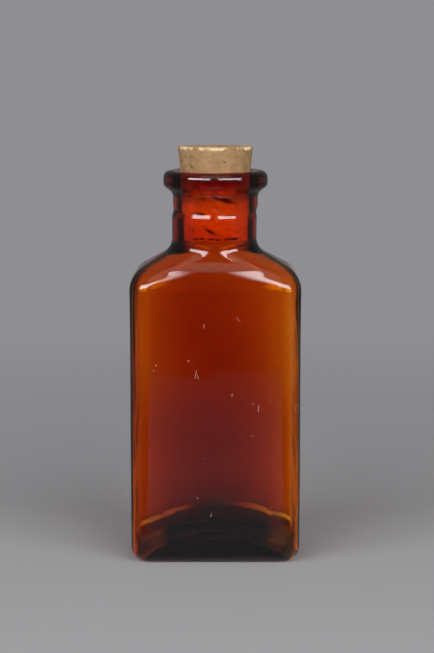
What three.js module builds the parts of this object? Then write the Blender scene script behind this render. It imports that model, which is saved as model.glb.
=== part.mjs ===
// An oblong medicine bottle of amber glass, closed by a tapered cork stopper.
// Millimetres, +Z up. The origin is the centre of the foot, on the surface the bottle stands on;
// +X runs across the broad front panel and -Y is the way that panel faces.
//
// The glass is one blown piece: foot, body, shoulder, neck and lip. Its skin is a stack of rings, from the
// middle of the foot up the outside, over the lip, and down the inside to the middle of the inner floor.
import * as THREE from "three";
import { ParametricGeometry } from "three/addons/geometries/ParametricGeometry.js";
import { mergeVertices } from "three/addons/utils/BufferGeometryUtils.js";

// ---- Driving dimensions --------------------------------------------------------------------------------

const BODY_WIDTH = 51.2;
const BODY_DEPTH = 31.4;
const BODY_CORNER = 6; // plan radius of the four upright corners
const HEEL = 4.4; // rounding between the walls and the foot
const FOOT_LAND = 2; // least width of the flat surface that the bottle stands on
const PUSH_UP = 2.4; // height of the oval hollow in the middle of the foot

// Each shoulder profile starts straight up at its foot, bends in, leans at its slope from upright and sweeps
// back up into the neck. The one over a broad panel starts higher, so that the panel has an arched top.
const SIDE_SHOULDER = { foot: 82.3, bend: 8, lean: THREE.MathUtils.degToRad(59), sweep: 5 };
const PANEL_SHOULDER = { foot: 84.8, bend: 12.5, lean: THREE.MathUtils.degToRad(27), sweep: 8 };

// How soon a shoulder's corners grow as it rises: early across its narrow sides, late along its broad panels.
const SIDE_ROUNDING = 0.5;
const PANEL_ROUNDING = 2.5;

const NECK_RADIUS = 12.8;
const WAIST_RADIUS = 12.5; // the shallow waist below the part of the neck that the lip tool shaped
const WAIST_HEIGHT = 105.4;
const WAIST_REACH = 1.9;
const FLARE_START = 109.4;
const LIP_RADIUS = 15.7;
const LIP_UNDERSIDE = 112.2;
const LIP_TOP = 117.5;
const LIP_ROUNDING = 1.6; // of its lower edge
const LIP_TOP_ROUNDING = 2.2;

const MOUTH_RADIUS = 10.9; // bore at the mouth, which narrows a little on the way down
const BORE_RADIUS = 9.85; // bore at the foot of the neck
const MOUTH_ROUNDING = 0.7;

const SIDE_WALL = 2.2;
const PANEL_WALL = 3.4;
const CAVITY_CORNER = 4.5;
const CAVITY_SIDE_SHOULDER = { foot: 82.3, bend: 5.8, lean: THREE.MathUtils.degToRad(59), sweep: 5.5 };
const CAVITY_PANEL_SHOULDER = { foot: 83.5, bend: 9, lean: THREE.MathUtils.degToRad(20), sweep: 8 };
const FLOOR_HEIGHT = 9; // inner floor at the middle, where the glass pooled
const FLOOR_FALL = 5.4; // how much lower the inner floor lies at the two narrow walls
const FLOOR_FILLET = 3;

const CORK_TOP = 125.1;
const CORK_LENGTH = 28.3;
const CORK_TOP_RADIUS = 11.3;
const CORK_MOUTH_RADIUS = 10.55; // at the mouth, where the neck pinches it
const CORK_FOOT_RADIUS = 9.5;
const CORK_CHAMFER = 0.4;
const CORK_SIDES = 48;

// Steps round a ring: over half a narrow side, over a corner and over half a broad panel.
const SIDE_STEPS = 2;
const CORNER_STEPS = 6;
const PANEL_STEPS = 5;
const SHOULDER_STEPS = 14;

// ---- Sections ------------------------------------------------------------------------------------------

const halfWidth = BODY_WIDTH / 2;
const halfDepth = BODY_DEPTH / 2;

// The angles of one ring's points. They line up with the ends of the corner arcs.
const angles = (() => {
  const sideEnd = Math.atan2(halfDepth - BODY_CORNER, halfWidth);
  const panelEnd = Math.atan2(halfDepth, halfWidth - BODY_CORNER);
  const quarter = [];
  const addSteps = (from, to, steps) => {
    for (let i = 0; i < steps; i++) quarter.push(from + ((to - from) * i) / steps);
  };
  addSteps(0, sideEnd, SIDE_STEPS);
  addSteps(sideEnd, panelEnd, CORNER_STEPS);
  addSteps(panelEnd, Math.PI / 2, PANEL_STEPS);
  const mirrored = quarter.slice(1).map((angle) => Math.PI - angle).reverse();
  const half = [...quarter, Math.PI / 2, ...mirrored];
  return [...half, ...half.map((angle) => angle + Math.PI)];
})();

// How far a rectangle with rounded corners reaches from its middle in the direction of an angle. Its corners
// are quarter ellipses, or quarter circles if only one radius is given.
function oblongReach(angle, width, depth, cornerWidth, cornerDepth = cornerWidth) {
  const stretch = cornerWidth / cornerDepth;
  const c = Math.abs(Math.cos(angle));
  const s = Math.abs(Math.sin(angle)) * stretch;
  const stretchedDepth = depth * stretch;
  if (width * s <= (stretchedDepth - cornerWidth) * c) return width / c;
  if (stretchedDepth * c <= (width - cornerWidth) * s) return stretchedDepth / s;
  const x = width - cornerWidth;
  const y = stretchedDepth - cornerWidth;
  const length = c * c + s * s;
  const along = (x * c + y * s) / length;
  return along + Math.sqrt(along * along - (x * x + y * y - cornerWidth * cornerWidth) / length);
}

// The same for an ellipse.
function ovalReach(angle, width, depth) {
  return (width * depth) / Math.hypot(depth * Math.cos(angle), width * Math.sin(angle));
}

// A ring of points. reach gives the distance from the axis at an angle, and height the height at a point.
function ring(reach, height) {
  return angles.map((angle) => {
    const r = reach(angle);
    const x = r * Math.cos(angle);
    const y = r * Math.sin(angle);
    return new THREE.Vector3(x, y, typeof height === "number" ? height : height(x, y));
  });
}

const roundRing = (radius, height) => ring(() => radius, height);
const outerReach = (inset) => (angle) =>
  oblongReach(angle, halfWidth - inset, halfDepth - inset, BODY_CORNER - inset);
const innerReach = (inset) => (angle) =>
  oblongReach(angle, halfWidth - SIDE_WALL - inset, halfDepth - PANEL_WALL - inset, CAVITY_CORNER - inset);

// Points along an arc in the plane of radius and height, from one angle to another.
function arc(radius, height, size, from, to, steps) {
  return new THREE.Path()
    .absarc(radius, height, size, from, to, to < from)
    .getSpacedPoints(steps);
}

// A shoulder's profile in the plane of distance from the axis and height.
function profile(bodyReach, neckRadius, { foot, bend, lean, sweep }) {
  const bendEnd = new THREE.Vector2(bodyReach - bend * (1 - Math.cos(lean)), foot + bend * Math.sin(lean));
  const sweepStart = neckRadius + sweep * (1 - Math.cos(lean));
  const rise = (bendEnd.x - sweepStart) / Math.tan(lean) + sweep * Math.sin(lean);
  return new THREE.Path()
    .absarc(bodyReach - bend, foot, bend, 0, lean)
    .absarc(neckRadius + sweep, bendEnd.y + rise, sweep, Math.PI + lean, Math.PI, true);
}

// The rings of a shoulder, which turns in from an oblong section to a round one. The profiles over a narrow
// side and over a broad panel are followed together, the panel's at first more slowly, and a ring's height
// runs smoothly from one to the other.
function shoulder(width, depth, corner, neckRadius, sideShoulder, panelShoulder) {
  const side = profile(width, neckRadius, sideShoulder);
  const panel = profile(depth, neckRadius, panelShoulder);
  return Array.from({ length: SHOULDER_STEPS + 1 }, (_, i) => {
    const share = i / SHOULDER_STEPS;
    const onSide = side.getPoint(share);
    const onPanel = panel.getPoint(share * share);
    const roundness = (width - onSide.x) / (width - neckRadius);
    const cornerWidth = THREE.MathUtils.lerp(corner, neckRadius, roundness ** PANEL_ROUNDING);
    const cornerDepth = THREE.MathUtils.lerp(corner, neckRadius, roundness ** SIDE_ROUNDING);
    return ring(
      (angle) => oblongReach(angle, onSide.x, onPanel.x, cornerWidth, cornerDepth),
      (x) => THREE.MathUtils.lerp(onPanel.y, onSide.y, (x / onSide.x) ** 2),
    );
  });
}

// ---- The bottle's skin ---------------------------------------------------------------------------------

function footRings() {
  const inset = HEEL + FOOT_LAND;
  const hollow = [0, 0.25, 0.5, 0.75, 1].map((share) =>
    ring(
      (angle) => share * ovalReach(angle, halfWidth - inset, halfDepth - inset),
      PUSH_UP * (1 - share * share),
    ),
  );
  const heel = arc(0, HEEL, HEEL, -Math.PI / 2, 0, 6).map(({ x, y }) => ring(outerReach(HEEL - x), y));
  return [...hollow, ...heel];
}

function neckRings() {
  const waist = [-1, -0.5, 0, 0.5, 1].map((step) =>
    roundRing(
      NECK_RADIUS - (NECK_RADIUS - WAIST_RADIUS) * Math.cos((step * Math.PI) / 2) ** 2,
      WAIST_HEIGHT + step * WAIST_REACH,
    ),
  );
  const flareRadius = LIP_UNDERSIDE - FLARE_START;
  const flare = arc(NECK_RADIUS + flareRadius, FLARE_START, flareRadius, Math.PI, Math.PI * 0.66, 4);
  return [...waist, ...flare.map(({ x, y }) => roundRing(x, y))];
}

function lipRings() {
  const lower = arc(
    LIP_RADIUS - LIP_ROUNDING,
    LIP_UNDERSIDE + LIP_ROUNDING,
    LIP_ROUNDING,
    -Math.PI / 3,
    0,
    3,
  );
  const upper = arc(
    LIP_RADIUS - LIP_TOP_ROUNDING,
    LIP_TOP - LIP_TOP_ROUNDING,
    LIP_TOP_ROUNDING,
    0,
    Math.PI / 2,
    5,
  );
  const mouth = arc(
    MOUTH_RADIUS + MOUTH_ROUNDING,
    LIP_TOP - MOUTH_ROUNDING,
    MOUTH_ROUNDING,
    Math.PI / 2,
    Math.PI,
    3,
  );
  return [...lower, ...upper, ...mouth].map(({ x, y }) => roundRing(x, y));
}

// Height of the inner floor, which is a vault across the bottle's width.
function floorHeight(x) {
  const reach = halfWidth - SIDE_WALL;
  return FLOOR_HEIGHT - FLOOR_FALL * (x / reach) ** 2;
}

function cavityRings() {
  const walls = shoulder(
    halfWidth - SIDE_WALL,
    halfDepth - PANEL_WALL,
    CAVITY_CORNER,
    BORE_RADIUS,
    CAVITY_SIDE_SHOULDER,
    CAVITY_PANEL_SHOULDER,
  ).reverse();
  const fillet = arc(-FLOOR_FILLET, FLOOR_FILLET, FLOOR_FILLET, 0, -Math.PI / 2, 4).map(({ x, y }) =>
    ring(innerReach(-x), (px) => floorHeight(px) + y),
  );
  const floor = [0.75, 0.5, 0.25, 0].map((share) =>
    ring((angle) => share * innerReach(FLOOR_FILLET)(angle), floorHeight),
  );
  return [...walls, ...fillet, ...floor];
}

// A surface through a stack of rings, each joined to the next.
function skin(rings) {
  const steps = angles.length;
  const rows = rings.length - 1;
  const pointAt = (u, v, point) => point.copy(rings[Math.round(v * rows)][Math.round(u * steps) % steps]);
  return closed(new ParametricGeometry(pointAt, steps, rows));
}

// The same surface with its seam and its two ends joined, so that it closes on itself.
function closed(surface) {
  surface.deleteAttribute("normal");
  surface.deleteAttribute("uv");
  const geometry = mergeVertices(surface, 1e-4);
  geometry.computeVertexNormals();
  return geometry;
}

// ---- The pieces ----------------------------------------------------------------------------------------

function glassBottle() {
  const rings = [
    ...footRings(),
    ...shoulder(halfWidth, halfDepth, BODY_CORNER, NECK_RADIUS, SIDE_SHOULDER, PANEL_SHOULDER),
    ...neckRings(),
    ...lipRings(),
    ...cavityRings(),
  ];
  const amber = new THREE.MeshStandardMaterial({ color: 0x7a1e0a, roughness: 0.04, metalness: 0 });
  const mesh = new THREE.Mesh(skin(rings), amber);
  mesh.name = "glass_bottle";
  return mesh;
}

function corkStopper() {
  const foot = CORK_TOP - CORK_LENGTH;
  const profile = [
    [0, foot],
    [CORK_FOOT_RADIUS - CORK_CHAMFER, foot],
    [CORK_FOOT_RADIUS, foot + CORK_CHAMFER],
    [CORK_MOUTH_RADIUS, LIP_TOP],
    [CORK_TOP_RADIUS, CORK_TOP - CORK_CHAMFER],
    [CORK_TOP_RADIUS - CORK_CHAMFER, CORK_TOP],
    [0, CORK_TOP],
  ].map(([radius, height]) => new THREE.Vector2(radius, height));
  const turned = new THREE.LatheGeometry(profile, CORK_SIDES);
  turned.rotateX(Math.PI / 2);
  const tan = new THREE.MeshStandardMaterial({ color: 0xa8824e, roughness: 0.85, metalness: 0 });
  const mesh = new THREE.Mesh(closed(turned), tan);
  mesh.name = "cork_stopper";
  return mesh;
}

const bottle = new THREE.Group();
bottle.add(glassBottle(), corkStopper());

export default bottle;
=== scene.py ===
"""Looks of an oblong amber medicine bottle with a cork: fine pieces of glass and cork around the CAD frame.

The pieces are made in millimetres, in the CAD frame, and become metres when a mesh is built. The room round
them is in metres. +Z is up, +X runs across the broad front panel, and -Y is the way that panel faces.
"""
import math
import random

import bpy
import numpy as np
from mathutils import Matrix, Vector


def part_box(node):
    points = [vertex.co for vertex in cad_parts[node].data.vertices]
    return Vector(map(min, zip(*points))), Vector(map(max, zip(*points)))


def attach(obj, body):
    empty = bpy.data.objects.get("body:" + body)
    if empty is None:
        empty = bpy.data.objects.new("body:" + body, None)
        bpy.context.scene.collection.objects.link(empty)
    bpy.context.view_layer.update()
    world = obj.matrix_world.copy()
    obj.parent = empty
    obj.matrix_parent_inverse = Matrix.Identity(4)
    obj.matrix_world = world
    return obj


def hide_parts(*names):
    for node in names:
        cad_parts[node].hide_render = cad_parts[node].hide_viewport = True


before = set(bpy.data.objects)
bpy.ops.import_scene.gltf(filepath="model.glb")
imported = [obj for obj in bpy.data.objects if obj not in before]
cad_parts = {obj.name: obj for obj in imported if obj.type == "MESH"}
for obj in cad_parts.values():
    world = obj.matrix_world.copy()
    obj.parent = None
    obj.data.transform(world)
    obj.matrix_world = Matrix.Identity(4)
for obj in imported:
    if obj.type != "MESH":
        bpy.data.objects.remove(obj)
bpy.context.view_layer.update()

MM = 0.001
glass_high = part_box("glass_bottle")[1]
cork_low, cork_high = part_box("cork_stopper")

# ---- Glass: outside ------------------------------------------------------------------------------

HALF_WIDTH = glass_high.x / MM
HALF_DEPTH = glass_high.y / MM
LIP_TOP = glass_high.z / MM
BODY_CORNER = 6.0
HEEL = 4.4
FOOT_LAND = 2.0  # width of the flat surface it stands on
PUSH_UP = 2.4  # height of the hollow underneath
# Each shoulder profile: height of its foot, radius of its bend, lean of its slope, radius of its sweep.
SIDE_SHOULDER = (82.3, 8.0, math.radians(59), 5.0)
PANEL_SHOULDER = (84.6, 10.3, math.radians(27.7), 10.0)
SHOULDER_ARCH = 2.9  # power of the arch that a shoulder's row makes across the width
SHOULDER_CROWN = 0.14  # how far its broad sides curve back towards their ends, as a share of the depth
CROWN_COMES = (0, 0.36)  # where along the profile the crown comes in, as shares of its length
CROWN_GOES = (0.45, 0.95)
# How soon a shoulder's rows turn from oblong to round as they rise: soon with a power below 1.
PANEL_ROUNDING = 0.65
SIDE_ROUNDING = 1.06
NECK_RADIUS = 12.8
WAIST_RADIUS = 12.5
WAIST_HEIGHT = 105.4
WAIST_REACH = 1.9  # how far the waist runs up and down from its middle
FLARE_START = 109.4
FLARE_END_ANGLE = math.pi * 0.66  # where on its circle the flare meets the lip
LIP_RADIUS = HALF_DEPTH  # the lip is as wide as the body is deep
LIP_UNDERSIDE = 112.2
LIP_START_ANGLE = -math.pi / 3  # where on its circle the lower rounding starts
LIP_ROUNDING = 1.6
LIP_TOP_ROUNDING = 2.2
NECK_SHIFT = -0.3  # the neck below the waist was set on a little to the left
NECK_SHIFT_COMES = (88, 96)  # heights
NECK_SHIFT_GOES = (104, 107)

# ---- Glass: inside -------------------------------------------------------------------------------

MOUTH_RADIUS = 10.8
MOUTH_ROUNDING = 0.7
BORE_RADIUS = 9.75
SIDE_WALL = 1.4
PANEL_WALL = 1.0  # at a panel's two ends, where the glass was blown thinnest
PANEL_BULGE = 2.7  # how much thicker the middle of a broad panel is
PANEL_MIDDLE = -1.5  # its thickest line lies a little to the left
PANEL_BULGE_REACH = 23.5  # how far to each side of that line the thick part runs
PANEL_BULGE_GOES = (78, 94)  # heights
LOWER_BULGE = 1.5  # more of that in the lower half
LOWER_BULGE_GOES = (34, 58)
BASE_BULGE = 2.8  # and more still just above the inner floor
BASE_BULGE_REACH = 15.5  # how far to each side of the middle that runs
BASE_BULGE_TOP = 26.0
CAVITY_CORNER = 4.8
CAVITY_SHIFT = 0.28  # the hollow lies a little to the right, so the left wall is the thicker one
CAVITY_SHIFT_GOES = (84, 98)
CAVITY_SIDE_SHOULDER = (82.0, 7.0, math.radians(59), 5.5)
CAVITY_PANEL_SHOULDER = (82.4, 9.5, math.radians(28), 9.0)
FLOOR_MIDDLE = 7.8
FLOOR_BACK_RISE = 1.5
FLOOR_ENDS_FALL = 8.0
FLOOR_TWIST = 0.5
FLOOR_FILLET = 4.4

# ---- Glass: unevenness ---------------------------------------------------------------------------

# Each set of waves: its seed, its longest and shortest wave, and how many waves.
OUTER_WAVES = (3, 46, 14, 14)
INNER_WAVES = (8, 38, 10, 14)
OUTER_WAVE = 0.12  # depth
INNER_WAVE = 0.22
OUTER_WAVE_COMES = (0.5, 8)  # heights
INNER_WAVE_GOES = (92, 100)
INNER_WAVE_STARTS = (2, 9)  # distances from the axis
NEAR_AXIS = 1.0  # points closer than this to the axis hardly move

# ---- Glass: steps of the mesh --------------------------------------------------------------------

# Round a ring: over half a narrow side, over a corner and over half a broad panel.
SIDE_STEPS = 10
CORNER_STEPS = 26
PANEL_STEPS = 24
# From the middle of the foot up to the lip, and down inside to the middle of the floor.
PUSH_UP_STEPS = 14
HEEL_STEPS = 16
WALL_STEPS = 60
SHOULDER_ARC_STEPS = 30
SHOULDER_ROWS = 66
NECK_WALL_STEPS = 7
WAIST_STEPS = 14
FLARE_STEPS = 12
LIP_UNDERSIDE_STEPS = 8
LIP_SIDE_STEPS = 5
LIP_TOP_STEPS = 16
MOUTH_STEPS = 8
BORE_STEPS = 25
CAVITY_WALL_STEPS = 56
FILLET_STEPS = 12
FLOOR_STEPS = 18
SMALLEST = 1e-9  # keeps a division away from zero

# ---- Wear on the glass ---------------------------------------------------------------------------

# Scratches on the front: each is (distance across, height, half length, half width, lean from upright).
SCRATCHES = [
    (-5.8, 58.2, 1.5, 0.09, 0.2),
    (-5.2, 57.4, 0.9, 0.07, -0.35),
    (12.9, 47.9, 1.2, 0.12, 0.05),
    (6.8, 74.6, 1.0, 0.07, -0.6),
    (-3.4, 72.6, 0.7, 0.1, 0.1),
    (5.0, 51.8, 0.5, 0.12, 0.3),
    (13.7, 24.6, 0.3, 0.1, -0.8),
]
SPECKS = 24
SPECK_SEED = 5
SPECK_SIZE = (0.07, 0.17)
SPECK_STRETCH = (1, 2)  # its length, in widths
SPECK_LEAN = (-1, 1)
SPECK_ACROSS = (-19, 19)
SPECK_LOWEST = 15
SPECK_RISE = 62  # most specks lie low in this
BRUISE = (25.2, 47.4, 1.0, 0.05)  # on the right corner: distance across, height, radius, half width
WEAR_LIFT = 0.012  # how far the pale marks stand off the glass
WEAR_SIDES = 10
WEAR_UNEVEN = (0.6, 1.2)  # how the width of a mark varies round its outline
BRUISE_SIDES = 20

# ---- Cork: shape ---------------------------------------------------------------------------------

CORK_TOP = cork_high.z / MM
CORK_FOOT = cork_low.z / MM
CORK_TOP_RADIUS = cork_high.x / MM
CORK_MOUTH_RADIUS = 10.65
CORK_FOOT_RADIUS = 9.6
CORK_EDGE = 0.5
CORK_TOP_FALL = 0.6  # how much lower the cut top lies at the back
CORK_TOP_FALL_START = 2.0  # how far above the lip that starts
CORK_TOP_MIDDLE = CORK_TOP - 0.1
CORK_COLUMNS = 240
CORK_ROWS = 130
CORK_FOOT_STEPS = 12
CORK_FOOT_EDGE_STEPS = 5
CORK_TOP_EDGE_STEPS = 6
CORK_TOP_STEPS = 29
CORK_SIDE_FOOT = (CORK_FOOT, CORK_FOOT + 0.6)  # heights between which the pitted side starts and ends
CORK_SIDE_TOP = (CORK_TOP - 0.7, CORK_TOP)

# Each set of waves: its seed, its longest and shortest wave, and how many waves.
FINE_WAVES = (21, 2.0, 0.7, 40)
COARSE_WAVES = (22, 9, 5, 20)
GRAIN_WAVES = (23, 3, 1, 30)
COARSE_CHIP_WAVES = (31, 9, 3, 18)
FINE_CHIP_WAVES = (32, 2.5, 1, 24)
FINE_DEPTH = 0.025
COARSE_DEPTH = 0.03
ROUGH_INSET = 0.055  # keeps the rough side inside the CAD's cork
ROUGH_BEYOND = 6.0  # the rings of the two ends are left round inside this radius
GRAIN_DEPTH = 0.07
GRAIN_INSET = 0.08  # keeps the rough top under the CAD's top
GRAIN_STRETCH = (1, 2.6, 1)  # the grain of the top runs across, from side to side
GRAIN_FROM = 0.99  # how near the very top a point lies to have grain
COARSE_CHIP = 0.55  # depth
FINE_CHIP = 0.3
CHIP_CIRCLE = 10.0  # radius of the circle on which the chips' waves are measured
CHIP_REACH = (CORK_TOP_RADIUS - 2.6, CORK_TOP_RADIUS - 0.4)
CHIP_HEIGHTS = (CORK_TOP - 1.6, CORK_TOP - 0.2)
FRESH_AND_LIT_CHIP = 0.35  # depth at which a chip shows nothing but fresh cork with its painted light

# ---- Cork: pits ----------------------------------------------------------------------------------

FRONT = -math.pi / 2
# Lenticels and holes in view: each is (turn from the front, height, half length, half width, depth, tilt).
SHOWN_PITS = [
    (0.25, 109.3, 3.4, 0.75, 0.9, -0.35),
    (-0.42, 104.6, 0.9, 0.7, 0.7, 0.3),
    (-0.16, 99.8, 1.7, 0.45, 0.6, -0.5),
    (-0.75, 110.8, 0.5, 0.45, 0.5, 0.0),
    (-0.95, 121.9, 0.35, 0.35, 0.35, 0.0),
    (-0.72, 118.9, 0.8, 0.3, 0.35, -0.9),
    (0.55, 97.7, 1.6, 0.35, 0.5, 0.1),
]
# Notches in the edge of the foot: their turns from the front, and ranges of their height and half length.
NOTCH_TURNS = (-0.62, -0.4, -0.12, 0.05, 0.33, 0.6)
NOTCH_HEIGHT = (0.6, 1.0)
NOTCH_LENGTH = (0.7, 1.3)
NOTCH_WIDTH = 0.3
NOTCH_DEPTH = 0.5
# Small pits scattered over the whole cork.
SCATTER_SEED = 11
SCATTER_COUNT = 45
SCATTER_HEIGHTS = (CORK_FOOT + 0.5, CORK_TOP - 1)
SCATTER_SIZE = (0.12, 0.5)
SCATTER_STRETCH = (1, 3.2)
SCATTER_DEPTH = 0.9  # as a share of its size
SCATTER_TILT = (-0.5, 0.5)
SCATTER_FRONT = 1.1  # within this turn of the front they are smaller
SCATTER_FRONT_SIZE = 0.55
PIT_STEEPNESS = 1.6

# ---- Materials -----------------------------------------------------------------------------------

WHITE = (1, 1, 1, 1)
GLASS_IOR = 1.52
GLASS_ROUGHNESS = 0.035
GLASS_COLOUR = (0.916, 0.753, 0.0, 1)
GLASS_DENSITY = 1900
WEAR_COLOUR = (0.2, 0.125, 0.09, 1)
WEAR_ROUGHNESS = 0.7
# Two shades of weathered cork, each with its place on the scale of the noise that mixes them.
WEATHERED_CORK = [(0.3, (0.16, 0.084, 0.032, 1)), (0.7, (0.235, 0.139, 0.059, 1))]
# Cleaner cork down in the neck, made paler as painted light for the light that reaches it there through the
# glass.
CLEAN_AND_LIT_CORK = (0.54, 0.335, 0.14, 1)
# Pale fresh cork where the top edge is chipped, paler also as painted light on that edge.
FRESH_AND_LIT_CORK = (0.45, 0.345, 0.19, 1)
PIT_COLOUR = (0.035, 0.012, 0.005, 1)
WEATHERED_DOWN_TO = 114.0
CLEAN_AND_LIT_UP_TO = 104.0
MOTTLE_SCALE = 420
MOTTLE_DETAIL = 5
CORK_ROUGHNESS = 0.85
BUMP_SCALE = 1500
BUMP_DETAIL = 4
BUMP_STRENGTH = 0.35
BUMP_DISTANCE = 0.0003

# ---- Room, light and camera, in metres and degrees -----------------------------------------------

FLOOR_COLOUR = (0.215, 0.215, 0.219, 1)
FLOOR_THROUGH_GLASS = (0.45, 0.187, 0.19, 1)
FLOOR_RADIUS = 1.6
FLOOR_SIDES = 96
FLOOR_GOES = (0.07, 0.45)  # distances from the bottle at which it fades into the backdrop
FRONT_EDGE = (-0.27, -0.36)  # where along Y its front edge fades
MIRRORED_SIDES = (0.02, 0.07)  # and distances to the side at which its reflection fades
BACKDROP = (0.275, 0.27, 0.29, 1)
BACKDROP_THROUGH_GLASS = (0.64, 0.27, 0.29, 1)
ROOM_TOP = (1.0, 1.0, 0.8, 1)
DARK_ROOM = (0.03, 0.028, 0.03, 1)
ROOM_SIDES = (0.13, 0.13, 0.125, 1)
# The pale parts of the room seen through the glass: each is (direction, inner angle, outer angle).
REFRACTED_ROOM = [
    ((0, 1, -0.1), 12, 36),
    ((1, 0, -0.1), 14, 26),
    ((-1, 0, -0.1), 14, 26),
    ((0, -1, -0.1), 14, 26),
]
# The parts of the room mirrored in the glass: the same and a colour, each part over the one before it.
REFLECTED_ROOM = [
    ((0, -1, 0), 35, 70, DARK_ROOM),
    ((0, -1, 2.14), 20, 33, ROOM_TOP),
    ((0, 1, -0.1), 5, 12, BACKDROP),
]
# Each soft box's name, and how far round from the front it stands.
SOFTBOXES = [("softbox_left", -39), ("softbox_right", 35)]
SOFTBOX_TARGET = (0, 0, 0.06)
SOFTBOX_DISTANCE = 1.1
SOFTBOX_WIDTH = 1.13
SOFTBOX_HEIGHT = 0.6
SOFTBOX_ELEVATION = 28.5
SOFTBOX_EVEN = 0.37  # how far from its middle it glows evenly, as a share of its size
SOFTBOX_EDGE = 0.5
GLOW = 10.5
WHITE_THROUGH_GLASS = (3.4, 1.3, 1, 1)
CAMERA_LENS = 102
CAMERA_PLACE = (0.0005, -0.555, 0.156)
CAMERA_LOOKS_DOWN = 8.8
BOUNCES = 32
TRANSMISSION_BOUNCES = 28
GLOSSY_BOUNCES = 12
TRANSPARENT_BOUNCES = 12


# ---- Mesh helpers --------------------------------------------------------------------------------

def mesh_piece(name, points, faces, body, material):
    """A smooth-shaded object made from millimetre points that rides on a body."""
    mesh = bpy.data.meshes.new(name)
    mesh.from_pydata([tuple(p) for p in np.asarray(points) * MM], [], faces)
    mesh.update()
    for polygon in mesh.polygons:
        polygon.use_smooth = True
    piece = bpy.data.objects.new(name, mesh)
    bpy.context.scene.collection.objects.link(piece)
    piece.data.materials.append(material)
    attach(piece, body)
    return piece


def point_values(piece, name, values):
    """Gives each point of a piece a number that its material can read."""
    attribute = piece.data.attributes.new(name, "FLOAT", "POINT")
    attribute.data.foreach_set("value", np.asarray(values, dtype=np.float32))


def skin_faces(rows, columns):
    """Faces over rows of points, with one more point before the first row and one after the last."""
    faces = []
    last = 1 + rows * columns
    for k in range(columns):
        after = (k + 1) % columns
        faces.append((0, 1 + after, 1 + k))
        for row in range(rows - 1):
            low = 1 + row * columns
            high = low + columns
            faces.append((low + k, low + after, high + after, high + k))
        top = last - columns
        faces.append((top + k, top + after, last))
    return faces


def arc(radius, height, size, start, end, steps):
    """Points (radius, height) along an arc."""
    turn = np.linspace(start, end, steps + 1)
    return np.column_stack([radius + size * np.cos(turn), height + size * np.sin(turn)])


def steps_between(start, end, steps):
    """Even steps from start to end, without the two ends themselves."""
    return np.linspace(start, end, steps + 1)[1:-1]


def ramp(value, start, end):
    """A smooth step from 0 at start to 1 at end."""
    share = np.clip((value - start) / (end - start), 0, 1)
    return share * share * (3 - 2 * share)


def waves(points, seed, longest, shortest, count):
    """Smooth unevenness between -1 and 1 at each point, as a sum of sine waves in random directions."""
    rng = np.random.default_rng(seed)
    total = np.zeros(len(points))
    weight = 0.0
    for _ in range(count):
        direction = rng.normal(size=3)
        direction /= np.linalg.norm(direction)
        length = rng.uniform(shortest, longest)
        total += length * np.sin(points @ direction * (2 * math.pi / length) + rng.uniform(0, 2 * math.pi))
        weight += length * length
    return np.clip(total / math.sqrt(weight), -1, 1)


# ---- Glass: rings and shoulders ------------------------------------------------------------------

def ring_angles():
    """Angles of a ring's points, which line up with the ends of the corner arcs."""
    side_end = math.atan2(HALF_DEPTH - BODY_CORNER, HALF_WIDTH)
    panel_end = math.atan2(HALF_DEPTH, HALF_WIDTH - BODY_CORNER)
    quarter = np.concatenate([
        np.linspace(0, side_end, SIDE_STEPS, endpoint=False),
        np.linspace(side_end, panel_end, CORNER_STEPS, endpoint=False),
        np.linspace(panel_end, math.pi / 2, PANEL_STEPS, endpoint=False),
    ])
    half = np.concatenate([quarter, [math.pi / 2], (math.pi - quarter[1:])[::-1]])
    return np.concatenate([half, half + math.pi])


ANGLES = ring_angles()
COS, SIN = np.cos(ANGLES), np.sin(ANGLES)


def oblong_reach(width, depth, corner, corner_depth=None):
    """How far a rectangle with rounded corners reaches from its middle at each angle.

    Its corners are quarter circles, or quarter ellipses if their depth is given too.
    """
    stretch = corner / (corner_depth or corner)
    c, s = np.abs(COS), np.abs(SIN) * stretch
    depth = depth * stretch
    x, y = width - corner, depth - corner
    length = c * c + s * s
    along = (x * c + y * s) / length
    inside = np.maximum(along * along - (x * x + y * y - corner * corner) / length, 0)
    reach = along + np.sqrt(inside)
    reach = np.where(width * s <= y * c, width / np.maximum(c, SMALLEST), reach)
    return np.where(depth * c <= x * s, depth / np.maximum(s, SMALLEST), reach)


def oval_reach(width, depth):
    """How far an ellipse reaches from its middle at each angle."""
    return width * depth / np.hypot(depth * COS, width * SIN)


def ring(reach, height):
    """One row of points; reach and height are each a number or an array."""
    reach = np.broadcast_to(reach, ANGLES.shape)
    return np.column_stack([reach * COS, reach * SIN, np.broadcast_to(height, ANGLES.shape)])


def wall_rows(reach, low, high, steps):
    """Rows up or down a straight wall, without its two ends, whose heights may vary round the ring."""
    return [ring(reach, low + (high - low) * share) for share in steps_between(0, 1, steps)]


def shoulder_profile(body_reach, neck_radius, shoulder):
    """Points of a shoulder's profile, and each one's share of its length.

    A point is its distance from the axis and its height.
    """
    foot, bend, turn, sweep = shoulder
    lower = arc(body_reach - bend, foot, bend, 0, turn, SHOULDER_ARC_STEPS)
    sweep_start = neck_radius + sweep * (1 - math.cos(turn))
    rise = (lower[-1, 0] - sweep_start) / math.tan(turn) + sweep * math.sin(turn)
    sweep_height = lower[-1, 1] + rise
    upper = arc(neck_radius + sweep, sweep_height, sweep, math.pi + turn, math.pi, SHOULDER_ARC_STEPS)
    points = np.vstack([lower, upper])
    length = np.concatenate([[0], np.cumsum(np.linalg.norm(np.diff(points, axis=0), axis=1))])
    return points, length / length[-1]


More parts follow.
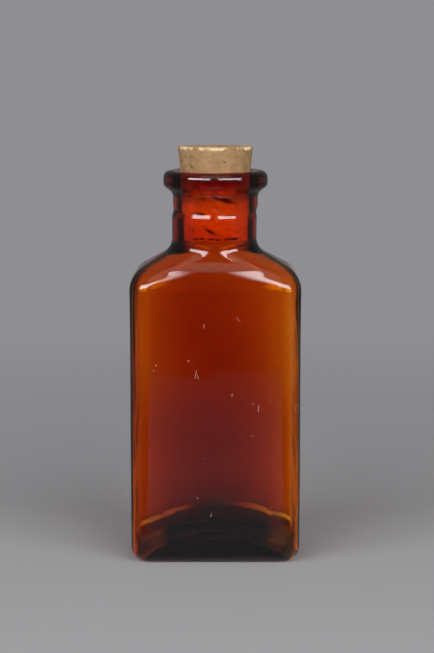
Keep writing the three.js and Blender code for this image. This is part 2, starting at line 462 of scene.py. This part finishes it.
def shoulder_rings(width, depth, corner, neck_radius, side_shoulder, panel_shoulder):
    """Rows of a shoulder, which turns in from an oblong section to a round one.

    The profiles over a narrow side and over a broad panel are followed together, and a row's height runs
    smoothly from one to the other.
    """
    side, side_length = shoulder_profile(width, neck_radius, side_shoulder)
    panel, panel_length = shoulder_profile(depth, neck_radius, panel_shoulder)
    rows = []
    for share in np.linspace(0, 1, SHOULDER_ROWS + 1):
        side_reach, side_height = (np.interp(share, side_length, side[:, i]) for i in (0, 1))
        panel_reach, panel_height = (np.interp(share, panel_length, panel[:, i]) for i in (0, 1))
        roundness = (width - side_reach) / (width - neck_radius)
        corner_width = corner + (neck_radius - corner) * roundness ** PANEL_ROUNDING
        corner_depth = corner + (neck_radius - corner) * roundness ** SIDE_ROUNDING
        reach = oblong_reach(side_reach, panel_reach, corner_width, corner_depth)
        across = np.abs(reach * COS / side_reach) ** SHOULDER_ARCH
        row = ring(reach, panel_height + (side_height - panel_height) * across)
        crown = SHOULDER_CROWN * ramp(share, *CROWN_COMES) * (1 - ramp(share, *CROWN_GOES))
        row[:, 1] *= 1 - crown * (row[:, 0] / width) ** 2
        rows.append(row)
    return rows


# ---- Glass: outside ------------------------------------------------------------------------------

def foot_rings():
    """Rows from the middle of the hollow underneath, over the resting surface and round the heel."""
    inset = HEEL + FOOT_LAND
    hollow = oval_reach(HALF_WIDTH - inset, HALF_DEPTH - inset)
    rows = []
    for share in np.linspace(0, 1, PUSH_UP_STEPS + 1)[1:]:
        rows.append(ring(hollow * share, PUSH_UP * (1 - share * share)))
    for x, z in arc(0, HEEL, HEEL, -math.pi / 2, 0, HEEL_STEPS):
        reach = oblong_reach(HALF_WIDTH - HEEL + x, HALF_DEPTH - HEEL + x, BODY_CORNER - HEEL + x)
        rows.append(ring(reach, z))
    return rows


def neck_rings():
    """Rows over the waist of the neck and up the flare under the lip."""
    rows = []
    for step in np.linspace(-1, 1, WAIST_STEPS + 1):
        dip = (NECK_RADIUS - WAIST_RADIUS) * math.cos(step * math.pi / 2) ** 2
        rows.append(ring(NECK_RADIUS - dip, WAIST_HEIGHT + step * WAIST_REACH))
    size = LIP_UNDERSIDE - FLARE_START
    for radius, height in arc(NECK_RADIUS + size, FLARE_START, size, math.pi, FLARE_END_ANGLE, FLARE_STEPS):
        rows.append(ring(radius, height))
    return rows


def lip_rings():
    """Rows round the lip and over its top into the mouth."""
    edge = LIP_RADIUS - LIP_ROUNDING
    top_edge = LIP_RADIUS - LIP_TOP_ROUNDING
    side_top = LIP_TOP - LIP_TOP_ROUNDING
    mouth_edge = MOUTH_RADIUS + MOUTH_ROUNDING
    mouth_height = LIP_TOP - MOUTH_ROUNDING
    lower = arc(edge, LIP_UNDERSIDE + LIP_ROUNDING, LIP_ROUNDING, LIP_START_ANGLE, 0, LIP_UNDERSIDE_STEPS)
    side = steps_between(lower[-1], (LIP_RADIUS, side_top), LIP_SIDE_STEPS)
    upper = arc(top_edge, side_top, LIP_TOP_ROUNDING, 0, math.pi / 2, LIP_TOP_STEPS)
    mouth = arc(mouth_edge, mouth_height, MOUTH_ROUNDING, math.pi / 2, math.pi, MOUTH_STEPS)
    return [ring(radius, height) for radius, height in np.vstack([lower, side, upper, mouth])]


def move_outwards(points, distance):
    """Moves each point straight away from the axis, or towards it where the distance is negative."""
    from_axis = np.hypot(points[:, 0], points[:, 1])
    points[:, :2] *= (1 + distance / np.maximum(from_axis, NEAR_AXIS))[:, None]
    return points


def shape_outside(points):
    """Hand-made unevenness of the outside, always inwards, and none on the resting surface."""
    inward = OUTER_WAVE * (0.5 + 0.5 * waves(points, *OUTER_WAVES))
    return move_outwards(points, -inward * ramp(points[:, 2], *OUTER_WAVE_COMES))


def shift_neck(points):
    """Sets the neck between the shoulder and the waist a little to one side."""
    height = points[:, 2]
    points[:, 0] += NECK_SHIFT * ramp(height, *NECK_SHIFT_COMES) * (1 - ramp(height, *NECK_SHIFT_GOES))
    return points


def glass_outside():
    """All rows of the outside, from the foot to the mouth."""
    foot = foot_rings()
    shoulder = shoulder_rings(
        HALF_WIDTH, HALF_DEPTH, BODY_CORNER, NECK_RADIUS, SIDE_SHOULDER, PANEL_SHOULDER
    )
    neck = neck_rings()
    body_reach = oblong_reach(HALF_WIDTH, HALF_DEPTH, BODY_CORNER)
    walls = wall_rows(body_reach, foot[-1][:, 2], shoulder[0][:, 2], WALL_STEPS)
    neck_wall = wall_rows(NECK_RADIUS, shoulder[-1][:, 2], neck[0][:, 2], NECK_WALL_STEPS)
    return foot + walls + shoulder + neck_wall + neck + lip_rings()


# ---- Glass: inside -------------------------------------------------------------------------------

def floor_height(x, y):
    """Height of the inner floor: a vault across the width, higher at the back and a little twisted."""
    u = x / (HALF_WIDTH - SIDE_WALL)
    v = y / (HALF_DEPTH - PANEL_WALL)
    return FLOOR_MIDDLE + FLOOR_BACK_RISE * v - FLOOR_ENDS_FALL * u * u + FLOOR_TWIST * u * v


def cavity_reach(inset):
    """How far the hollow of the body reaches at each angle, less an inset."""
    width = HALF_WIDTH - SIDE_WALL - inset
    depth = HALF_DEPTH - PANEL_WALL - inset
    return oblong_reach(width, depth, CAVITY_CORNER - inset)


def glass_inside():
    """All rows of the hollow, from the mouth down the bore and the walls and in over the floor."""
    shoulder = shoulder_rings(
        HALF_WIDTH - SIDE_WALL,
        HALF_DEPTH - PANEL_WALL,
        CAVITY_CORNER,
        BORE_RADIUS,
        CAVITY_SIDE_SHOULDER,
        CAVITY_PANEL_SHOULDER,
    )
    bore_foot = shoulder[-1][0, 2]
    rows = []
    for share in steps_between(0, 1, BORE_STEPS):
        height = LIP_TOP - MOUTH_ROUNDING + (bore_foot - LIP_TOP + MOUTH_ROUNDING) * share
        rows.append(ring(MOUTH_RADIUS + (BORE_RADIUS - MOUTH_RADIUS) * share, height))
    rows += shoulder[::-1]
    fillet = []
    for x, z in arc(-FLOOR_FILLET, FLOOR_FILLET, FLOOR_FILLET, 0, -math.pi / 2, FILLET_STEPS):
        reach = cavity_reach(-x)
        fillet.append(ring(reach, floor_height(reach * COS, reach * SIN) + z))
    rows += wall_rows(cavity_reach(0), shoulder[0][:, 2], fillet[0][:, 2], CAVITY_WALL_STEPS)
    rows += fillet
    for share in steps_between(1, 0, FLOOR_STEPS):
        reach = share * cavity_reach(FLOOR_FILLET)
        rows.append(ring(reach, floor_height(reach * COS, reach * SIN)))
    return rows


def shape_inside(points):
    """Thicker glass in the middle of the broad panels and low down in them, unevenly blown."""
    x, _, z = points.T
    bulge = PANEL_BULGE * (1 - ramp(z, *PANEL_BULGE_GOES)) + LOWER_BULGE * (1 - ramp(z, *LOWER_BULGE_GOES))
    bulge *= np.clip(1 - ((x - PANEL_MIDDLE) / PANEL_BULGE_REACH) ** 2, 0, 1)
    low = np.clip((BASE_BULGE_TOP - z) / (BASE_BULGE_TOP - FLOOR_MIDDLE), 0, 1)
    bulge += BASE_BULGE * low * low * np.clip(1 - (x / BASE_BULGE_REACH) ** 2, 0, 1)
    points[:, 1] *= 1 - bulge / (HALF_DEPTH - PANEL_WALL)
    uneven = INNER_WAVE * waves(points, *INNER_WAVES) * (1 - ramp(points[:, 2], *INNER_WAVE_GOES))
    from_axis = np.hypot(points[:, 0], points[:, 1])
    return move_outwards(points, uneven * ramp(from_axis, *INNER_WAVE_STARTS))


def shift_cavity(points):
    """Sets the hollow of the body a little to one side."""
    points[:, 0] += CAVITY_SHIFT * (1 - ramp(points[:, 2], *CAVITY_SHIFT_GOES))
    return points


def make_glass(material):
    """The bottle as one closed skin, up the outside and down the inside."""
    outside = glass_outside()
    inside = glass_inside()
    points = np.vstack([
        [[0, 0, PUSH_UP]],
        shift_neck(shape_outside(np.vstack(outside))),
        shift_cavity(shape_inside(np.vstack(inside))),
        [[0, 0, FLOOR_MIDDLE]],
    ])
    faces = skin_faces(len(outside) + len(inside), len(ANGLES))
    piece = mesh_piece("glass_shell", points, faces, "bottle", material)
    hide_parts("glass_bottle")


# ---- Wear on the glass ---------------------------------------------------------------------------

def front_point(across, height):
    """The point of the outside at a distance along its outline from the middle of the front panel."""
    flat = HALF_WIDTH - BODY_CORNER
    turn = max(0.0, abs(across) - flat) / BODY_CORNER
    x = min(abs(across), flat) + BODY_CORNER * math.sin(turn)
    y = HALF_DEPTH - BODY_CORNER + BODY_CORNER * math.cos(turn)
    return [math.copysign(x, across), -y, height]


def speck_marks(rng):
    """Specks of dust, in the same terms as the scratches."""
    marks = []
    for _ in range(SPECKS):
        size = rng.uniform(*SPECK_SIZE)
        height = SPECK_LOWEST + SPECK_RISE * rng.random() ** 2
        across = rng.uniform(*SPECK_ACROSS)
        length = size * rng.uniform(*SPECK_STRETCH)
        marks.append((across, height, length, size, rng.uniform(*SPECK_LEAN)))
    return marks


def mark_outline(mark, rng):
    """The points round one scratch or speck, with an uneven edge."""
    across, height, length, width, lean = mark
    outline = []
    for k in range(WEAR_SIDES):
        turn = 2 * math.pi * k / WEAR_SIDES
        along = length * math.sin(turn)
        side = width * math.cos(turn) * rng.uniform(*WEAR_UNEVEN)
        outline.append(front_point(
            across + side * math.cos(lean) + along * math.sin(lean),
            height + along * math.cos(lean) - side * math.sin(lean),
        ))
    return outline


def bruise_points():
    """The inner and outer points of the ring-shaped bruise, in pairs."""
    across, height, radius, width = BRUISE
    pairs = []
    for k in range(BRUISE_SIDES):
        turn = 2 * math.pi * k / BRUISE_SIDES
        for reach in (radius - width, radius + width):
            pairs.append(front_point(across + reach * math.cos(turn), height + reach * math.sin(turn)))
    return pairs


def make_wear(material):
    """Pale scratches, specks of dust and one ring-shaped bruise on the front of the glass."""
    rng = random.Random(SPECK_SEED)
    points, faces = [], []
    for mark in SCRATCHES + speck_marks(rng):
        start = len(points)
        points += mark_outline(mark, rng)
        faces.append(tuple(range(start, start + WEAR_SIDES)))
    start = len(points)
    points += bruise_points()
    for k in range(BRUISE_SIDES):
        inner = start + 2 * k
        after = start + 2 * ((k + 1) % BRUISE_SIDES)
        faces.append((inner, inner + 1, after + 1, after))
    points = shape_outside(np.array(points))
    points[:, 1] = np.maximum(points[:, 1] - WEAR_LIFT, -HALF_DEPTH)
    mesh_piece("scratches", points, faces, "bottle", material)


# ---- Cork ----------------------------------------------------------------------------------------

def cork_pits():
    """Lenticels and holes: each is (angle, height, half length, half width, depth, tilt)."""
    rng = random.Random(SCATTER_SEED)
    pits = [(FRONT + turn, *rest) for turn, *rest in SHOWN_PITS]
    for turn in NOTCH_TURNS:
        height = CORK_FOOT + rng.uniform(*NOTCH_HEIGHT)
        pits.append((FRONT + turn, height, rng.uniform(*NOTCH_LENGTH), NOTCH_WIDTH, NOTCH_DEPTH, 0.0))
    for _ in range(SCATTER_COUNT):
        angle = rng.uniform(0, 2 * math.pi)
        height = rng.uniform(*SCATTER_HEIGHTS)
        size = rng.uniform(*SCATTER_SIZE)
        if abs(math.remainder(angle - FRONT, 2 * math.pi)) < SCATTER_FRONT:
            size *= SCATTER_FRONT_SIZE
        length = size * rng.uniform(*SCATTER_STRETCH)
        pits.append((angle, height, length, size, size * SCATTER_DEPTH, rng.uniform(*SCATTER_TILT)))
    return pits


def cork_outline():
    """Points (radius, height) from the middle of the cork's foot to that of its top, without those two."""
    foot_edge = CORK_FOOT_RADIUS - CORK_EDGE
    top_edge = CORK_TOP_RADIUS - CORK_EDGE
    side_foot = CORK_FOOT + CORK_EDGE
    side_top = CORK_TOP - CORK_EDGE
    taper_heights = [CORK_FOOT, LIP_TOP, CORK_TOP]
    taper_radii = [CORK_FOOT_RADIUS, CORK_MOUTH_RADIUS, CORK_TOP_RADIUS]
    outline = [(share * foot_edge, CORK_FOOT) for share in steps_between(0, 1, CORK_FOOT_STEPS)]
    outline += list(arc(foot_edge, side_foot, CORK_EDGE, -math.pi / 2, 0, CORK_FOOT_EDGE_STEPS)[:-1])
    for height in np.linspace(side_foot, side_top, CORK_ROWS):
        outline.append((np.interp(height, taper_heights, taper_radii), height))
    outline += list(arc(top_edge, side_top, CORK_EDGE, 0, math.pi / 2, CORK_TOP_EDGE_STEPS)[1:])
    outline += [(share * top_edge, CORK_TOP) for share in steps_between(1, 0, CORK_TOP_STEPS)]
    return np.array(outline)


def turned_points(radius, height, turn):
    """Points from their distances from the axis, heights and angles."""
    return np.column_stack([
        (radius * np.cos(turn)).ravel(), (radius * np.sin(turn)).ravel(), height.ravel()
    ])


def pit_shapes(radius, height, turn):
    """How far into a pit each point lies, from 0 to 1, and how deep the pit is there."""
    pit = np.zeros(radius.shape)
    depth = np.zeros(radius.shape)
    for angle, level, length, width, deep, tilt in cork_pits():
        across = (np.remainder(turn - angle + math.pi, 2 * math.pi) - math.pi) * radius
        up = height - level
        along = across * math.cos(tilt) + up * math.sin(tilt)
        side = up * math.cos(tilt) - across * math.sin(tilt)
        falloff = np.exp(-((along / length) ** 2 + (side / width) ** 2) ** PIT_STEEPNESS)
        pit = np.maximum(pit, falloff)
        depth = np.maximum(depth, deep * falloff)
    return pit, depth


def chipped_edge(angles):
    """How deep the cork's top edge is broken away at each angle."""
    circle = turned_points(np.full(len(angles), CHIP_CIRCLE), np.zeros(len(angles)), angles)
    coarse = np.clip(waves(circle, *COARSE_CHIP_WAVES), 0, 1)
    fine = np.clip(waves(circle, *FINE_CHIP_WAVES), 0, 1)
    return COARSE_CHIP * coarse + FINE_CHIP * fine


def make_cork(material):
    """The tapered cork, pitted round its side, chipped at its top edge and cut a little aslant."""
    outline = cork_outline()
    radius, height = (np.repeat(column[:, None], CORK_COLUMNS, axis=1) for column in outline.T)
    shape = radius.shape
    turn = np.broadcast_to(np.linspace(0, 2 * math.pi, CORK_COLUMNS, endpoint=False), shape)
    smooth = turned_points(radius, height, turn)

    on_side = ramp(height, *CORK_SIDE_FOOT) * (1 - ramp(height, *CORK_SIDE_TOP))
    pit, depth = pit_shapes(radius, height, turn)
    rough = FINE_DEPTH * waves(smooth, *FINE_WAVES) + COARSE_DEPTH * waves(smooth, *COARSE_WAVES)
    inset = np.where(radius > ROUGH_BEYOND, ROUGH_INSET + rough.reshape(shape), 0)
    radius = radius - (depth * on_side) - inset

    chips = chipped_edge(turn[0])
    near_edge = ramp(radius, *CHIP_REACH)
    top = ramp(height, *CHIP_HEIGHTS)
    height = height - near_edge * top * chips
    grain = GRAIN_DEPTH * waves(smooth * GRAIN_STRETCH, *GRAIN_WAVES).reshape(shape)
    height = height - np.where(top > GRAIN_FROM, GRAIN_INSET + grain, 0)
    backwards = 0.5 + 0.5 * radius * np.sin(turn) / CORK_TOP_RADIUS
    height = height - CORK_TOP_FALL * backwards * ramp(height, LIP_TOP + CORK_TOP_FALL_START, CORK_TOP)

    points = turned_points(radius, height, turn)
    points = np.vstack([[[0, 0, CORK_FOOT]], points, [[0, 0, CORK_TOP_MIDDLE]]])
    piece = mesh_piece("cork_body", points, skin_faces(*shape), "cork", material)
    # Fresh cork where the top edge is chipped, and painted light on that edge.
    fresh_and_lit = top * near_edge * np.clip(chips / FRESH_AND_LIT_CHIP, 0, 1)
    for name, values in (("pit", pit * on_side), ("fresh_and_lit", fresh_and_lit)):
        point_values(piece, name, np.concatenate([[0], values.ravel(), [0]]))
    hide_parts("cork_stopper")


# ---- Node helpers --------------------------------------------------------------------------------

def new_material(name):
    """A material with an empty node tree."""
    material = bpy.data.materials.new(name)
    material.use_nodes = True
    material.node_tree.nodes.clear()
    return material


def add_node(tree, kind, inputs, **settings):
    """A new node with its settings made, and each input set to a value or joined to another node's output."""
    node = tree.nodes.new(kind)
    for name, value in settings.items():
        setattr(node, name, value)
    for name, value in inputs.items():
        if isinstance(value, bpy.types.NodeSocket):
            tree.links.new(value, node.inputs[name])
        else:
            node.inputs[name].default_value = value
    return node


def object_place(tree):
    """Each point's place in its own object."""
    return add_node(tree, "ShaderNodeTexCoord", {}).outputs["Object"]


def math_node(tree, operation, first, second=0.0):
    """The result of a Math node on one or two numbers, each fixed or a socket."""
    return add_node(tree, "ShaderNodeMath", {0: first, 1: second}, operation=operation).outputs[0]


def smooth_step(tree, value, start, end):
    """A smooth step from 0 at start to 1 at end."""
    inputs = {"Value": value, "From Min": start, "From Max": end}
    return add_node(tree, "ShaderNodeMapRange", inputs, interpolation_type="SMOOTHSTEP").outputs[0]


def blend_colours(tree, factor, first, second):
    """A mix of two colours, each a fixed colour or a socket."""
    inputs = {"Factor": factor, "A": first, "B": second}
    return add_node(tree, "ShaderNodeMix", inputs, data_type="RGBA").outputs["Result"]


def through_glass(tree, seen, beyond):
    """One colour as seen directly and another as seen through glass."""
    path = add_node(tree, "ShaderNodeLightPath", {})
    return blend_colours(tree, path.outputs["Is Transmission Ray"], seen, beyond)


def cone(tree, direction, axis, inner, outer):
    """1 within an angle of an axis and 0 beyond a larger one, in degrees."""
    inputs = {0: direction, 1: Vector(axis).normalized()}
    facing = add_node(tree, "ShaderNodeVectorMath", inputs, operation="DOT_PRODUCT")
    start, end = (math.cos(math.radians(angle)) for angle in (outer, inner))
    return smooth_step(tree, facing.outputs["Value"], start, end)


# ---- Materials -----------------------------------------------------------------------------------

def amber_glass():
    """Clear glass with its colour in its depth."""
    material = new_material("amber_glass")
    tree = material.node_tree
    surface = add_node(tree, "ShaderNodeBsdfPrincipled", {
        "Base Color": WHITE,
        "Transmission Weight": 1,
        "IOR": GLASS_IOR,
        "Roughness": GLASS_ROUGHNESS,
    })
    depth = add_node(tree, "ShaderNodeVolumeAbsorption", {"Color": GLASS_COLOUR, "Density": GLASS_DENSITY})
    add_node(tree, "ShaderNodeOutputMaterial", {"Surface": surface.outputs[0], "Volume": depth.outputs[0]})
    return material


def pale_wear():
    """Ground glass and dust: matt and pale."""
    material = new_material("pale_wear")
    tree = material.node_tree
    inputs = {"Base Color": WEAR_COLOUR, "Roughness": WEAR_ROUGHNESS}
    surface = add_node(tree, "ShaderNodeBsdfPrincipled", inputs)
    add_node(tree, "ShaderNodeOutputMaterial", {"Surface": surface.outputs[0]})
    return material


def cork_colour(tree, place):
    """Mottled brown where the air reaches it; paler the deeper it has sat in the neck, partly cleaner cork
    and partly painted light for the light reaching it there through the glass; pale at its chipped top edge,
    partly fresh cork and partly painted light; dark in pits.
    """
    mottle = add_node(
        tree, "ShaderNodeTexNoise", {"Vector": place, "Scale": MOTTLE_SCALE, "Detail": MOTTLE_DETAIL}
    )
    weathered = add_node(tree, "ShaderNodeValToRGB", {0: mottle.outputs[0]})
    for element, (position, colour) in zip(weathered.color_ramp.elements, WEATHERED_CORK):
        element.position = position
        element.color = colour
    height = add_node(tree, "ShaderNodeSeparateXYZ", {0: place}).outputs["Z"]
    # Paler down in the neck: cleaner cork, and painted light for the light reaching it through the glass.
    covered_and_lit = add_node(tree, "ShaderNodeMapRange", {
        "Value": height, "From Min": WEATHERED_DOWN_TO * MM, "From Max": CLEAN_AND_LIT_UP_TO * MM
    })
    colour = blend_colours(tree, covered_and_lit.outputs[0], weathered.outputs[0], CLEAN_AND_LIT_CORK)
    for name, over in (("pit", PIT_COLOUR), ("fresh_and_lit", FRESH_AND_LIT_CORK)):
        amount = add_node(tree, "ShaderNodeAttribute", {}, attribute_name=name)
        colour = blend_colours(tree, amount.outputs["Fac"], colour, over)
    return colour


def cork_bark():
    """Cork, weathered where the air reaches it, fresh and painted lighter where it is chipped at its top
    edge, and painted brighter down in the neck.
    """
    material = new_material("cork_bark")
    tree = material.node_tree
    place = object_place(tree)
    fine = add_node(tree, "ShaderNodeTexNoise", {"Vector": place, "Scale": BUMP_SCALE, "Detail": BUMP_DETAIL})
    bump = add_node(tree, "ShaderNodeBump", {
        "Height": fine.outputs[0], "Strength": BUMP_STRENGTH, "Distance": BUMP_DISTANCE
    })
    surface = add_node(tree, "ShaderNodeBsdfPrincipled", {
        "Base Color": cork_colour(tree, place), "Roughness": CORK_ROUGHNESS, "Normal": bump.outputs[0]
    })
    add_node(tree, "ShaderNodeOutputMaterial", {"Surface": surface.outputs[0]})
    return material


# ---- Room, light and camera ----------------------------------------------------------------------

def floor_paper():
    """Pale paper that fades into the backdrop, with a front edge like a table's; narrow in reflections."""
    material = new_material("floor_paper")
    tree = material.node_tree
    place = object_place(tree)
    distance = add_node(tree, "ShaderNodeVectorMath", {0: place}, operation="LENGTH")
    split = add_node(tree, "ShaderNodeSeparateXYZ", {0: place})
    aside = math_node(tree, "ABSOLUTE", split.outputs["X"])
    path = add_node(tree, "ShaderNodeLightPath", {}).outputs
    reflected = math_node(tree, "GREATER_THAN", path["Is Glossy Ray"], path["Is Transmission Ray"])
    far = smooth_step(tree, distance.outputs["Value"], *FLOOR_GOES)
    front = smooth_step(tree, split.outputs["Y"], *FRONT_EDGE)
    sides = math_node(tree, "MULTIPLY", smooth_step(tree, aside, *MIRRORED_SIDES), reflected)
    gone = math_node(tree, "MAXIMUM", math_node(tree, "MAXIMUM", far, front), sides)
    colour = through_glass(tree, FLOOR_COLOUR, FLOOR_THROUGH_GLASS)
    paper = add_node(tree, "ShaderNodeBsdfDiffuse", {"Color": colour})
    clear = add_node(tree, "ShaderNodeBsdfTransparent", {})
    surface = add_node(tree, "ShaderNodeMixShader", {0: gone, 1: paper.outputs[0], 2: clear.outputs[0]})
    add_node(tree, "ShaderNodeOutputMaterial", {"Surface": surface.outputs[0]})
    return material


def make_floor():
    bpy.ops.mesh.primitive_circle_add(vertices=FLOOR_SIDES, radius=FLOOR_RADIUS, fill_type="NGON")
    floor = bpy.context.object
    floor.name = "floor"
    floor.data.materials.append(floor_paper())


def make_world():
    """A pale backdrop on every side to the camera, and a mostly dark room in the glass and in reflections."""
    world = bpy.data.worlds.new("studio")
    bpy.context.scene.world = world
    world.use_nodes = True
    tree = world.node_tree
    tree.nodes.clear()
    direction = add_node(tree, "ShaderNodeTexCoord", {}).outputs["Generated"]
    pale = through_glass(tree, BACKDROP, BACKDROP_THROUGH_GLASS)
    refracted = DARK_ROOM
    for axis, inner, outer in REFRACTED_ROOM:
        refracted = blend_colours(tree, cone(tree, direction, axis, inner, outer), refracted, pale)
    reflected = ROOM_SIDES
    for axis, inner, outer, over in REFLECTED_ROOM:
        reflected = blend_colours(tree, cone(tree, direction, axis, inner, outer), reflected, over)
    path = add_node(tree, "ShaderNodeLightPath", {}).outputs
    colour = blend_colours(tree, path["Is Glossy Ray"], pale, reflected)
    colour = blend_colours(tree, path["Is Transmission Ray"], colour, refracted)
    background = add_node(tree, "ShaderNodeBackground", {"Color": colour})
    add_node(tree, "ShaderNodeOutputWorld", {"Surface": background.outputs[0]})


def softbox_light():
    """White light, even in the middle of the panel and fading at its edges.

    It is warmer on a matt surface that it reaches through the glass.
    """
    material = new_material("softbox_light")
    tree = material.node_tree
    aside = add_node(tree, "ShaderNodeVectorMath", {0: object_place(tree)}, operation="ABSOLUTE")
    split = add_node(tree, "ShaderNodeSeparateXYZ", {0: aside.outputs[0]})
    across, up = (smooth_step(tree, split.outputs[axis], SOFTBOX_EDGE, SOFTBOX_EVEN) for axis in "XY")
    strength = math_node(tree, "MULTIPLY", math_node(tree, "MULTIPLY", across, GLOW), up)
    path = add_node(tree, "ShaderNodeLightPath", {}).outputs
    warmed = math_node(tree, "MULTIPLY", path["Is Transmission Ray"], path["Diffuse Depth"])
    colour = blend_colours(tree, warmed, WHITE, WHITE_THROUGH_GLASS)
    glow = add_node(tree, "ShaderNodeEmission", {"Color": colour, "Strength": strength})
    add_node(tree, "ShaderNodeOutputMaterial", {"Surface": glow.outputs[0]})
    return material


def make_softboxes():
    """Two soft boxes in front, one each side."""
    target = Vector(SOFTBOX_TARGET)
    material = softbox_light()
    up = math.radians(SOFTBOX_ELEVATION)
    for name, azimuth in SOFTBOXES:
        turn = math.radians(azimuth)
        away = Vector((math.sin(turn) * math.cos(up), -math.cos(turn) * math.cos(up), math.sin(up)))
        bpy.ops.mesh.primitive_plane_add(size=1, location=target + away * SOFTBOX_DISTANCE)
        panel = bpy.context.object
        panel.name = name
        panel.scale = (SOFTBOX_WIDTH, SOFTBOX_HEIGHT, 1)
        panel.rotation_euler = away.to_track_quat("Z", "Y").to_euler()
        panel.visible_camera = False
        panel.data.materials.append(material)


def make_camera():
    data = bpy.data.cameras.new("camera")
    data.lens = CAMERA_LENS
    camera = bpy.data.objects.new("camera", data)
    camera.location = CAMERA_PLACE
    camera.rotation_euler = (math.radians(90 - CAMERA_LOOKS_DOWN), 0, 0)
    bpy.context.scene.collection.objects.link(camera)
    bpy.context.scene.camera = camera


def set_light_paths():
    """Enough bounces for the light to pass the glass's many walls."""
    cycles = bpy.context.scene.cycles
    cycles.max_bounces = BOUNCES
    cycles.transmission_bounces = TRANSMISSION_BOUNCES
    cycles.glossy_bounces = GLOSSY_BOUNCES
    cycles.transparent_max_bounces = TRANSPARENT_BOUNCES


make_glass(amber_glass())
make_wear(pale_wear())
make_cork(cork_bark())
make_floor()
make_world()
make_softboxes()
make_camera()
set_light_paths()
bpy.context.scene.view_settings.view_transform = "Standard"
